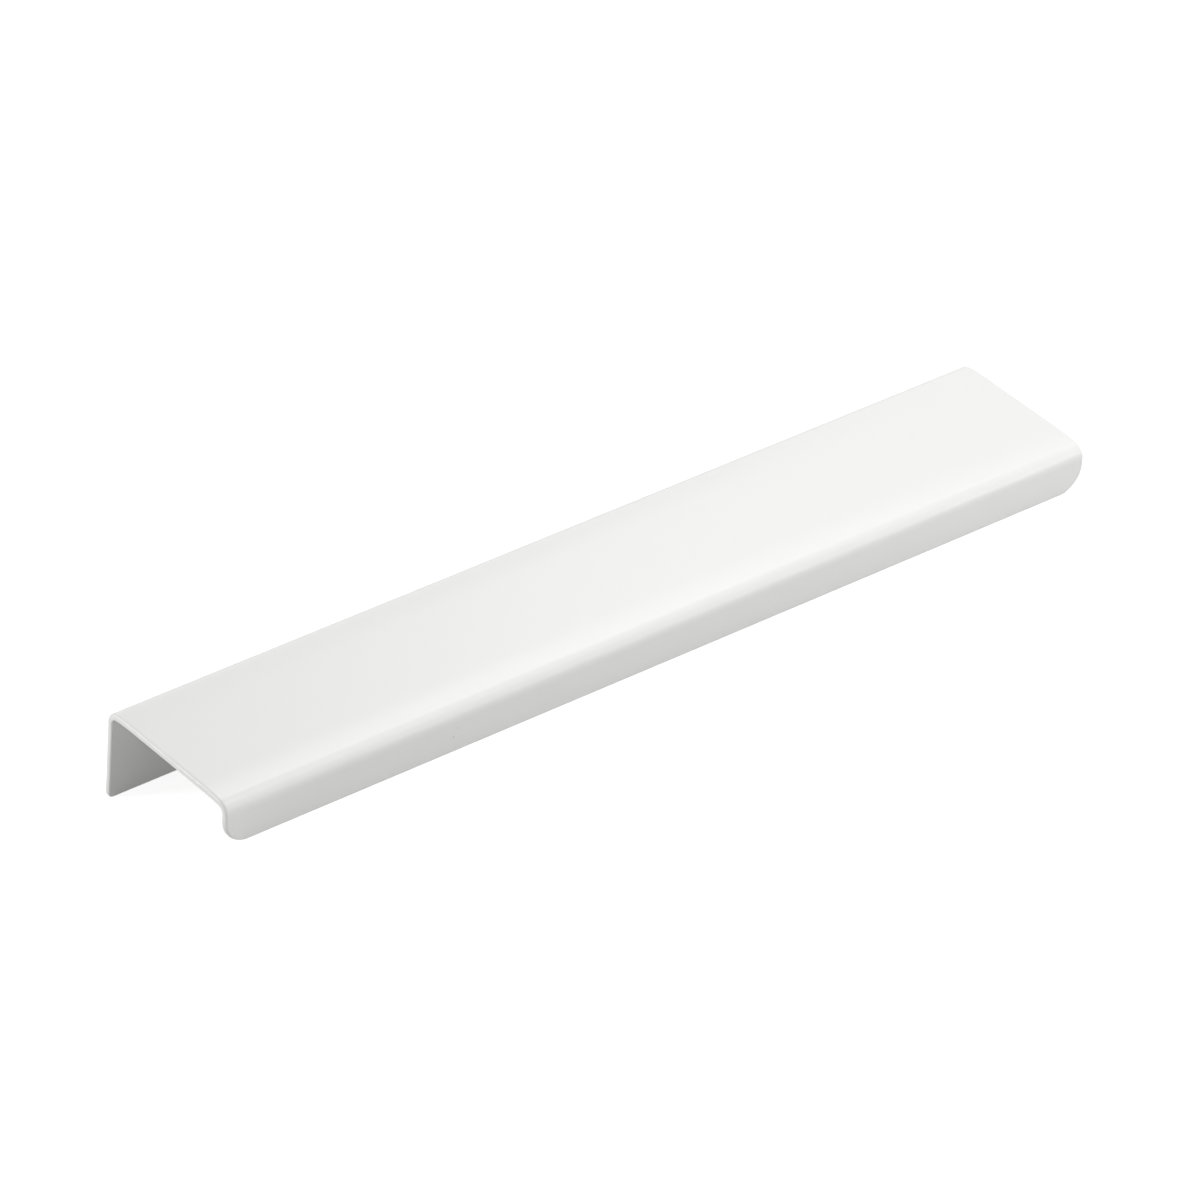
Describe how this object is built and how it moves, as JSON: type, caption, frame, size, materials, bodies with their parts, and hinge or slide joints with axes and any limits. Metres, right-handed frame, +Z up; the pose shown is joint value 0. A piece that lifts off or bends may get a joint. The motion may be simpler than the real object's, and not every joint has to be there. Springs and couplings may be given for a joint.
{
  "type": "lip pull handle",
  "caption": "Lip pull bent from white powder-coated sheet metal: the back flange screws behind a door or drawer front, the flat top covers its edge, and the short front lip is gripped.",
  "frame": {"origin": "on the floor, under the middle of the bounding box", "axes": "+X along the pull, +Y to the back where the flange is, +Z up; the pull lies on the feet of its flange and its lip, so the top plate slopes 16.3 degrees down to the front"},
  "size_m": [0.2, 0.0382, 0.0179],
  "materials": {
    "powder_coat": "satin white powder coat on bent sheet steel, slightly pooled over the cut edges"
  },
  "bodies": {
    "root": {"lip_pull": "powder_coat"}
  },
  "joints": []
}
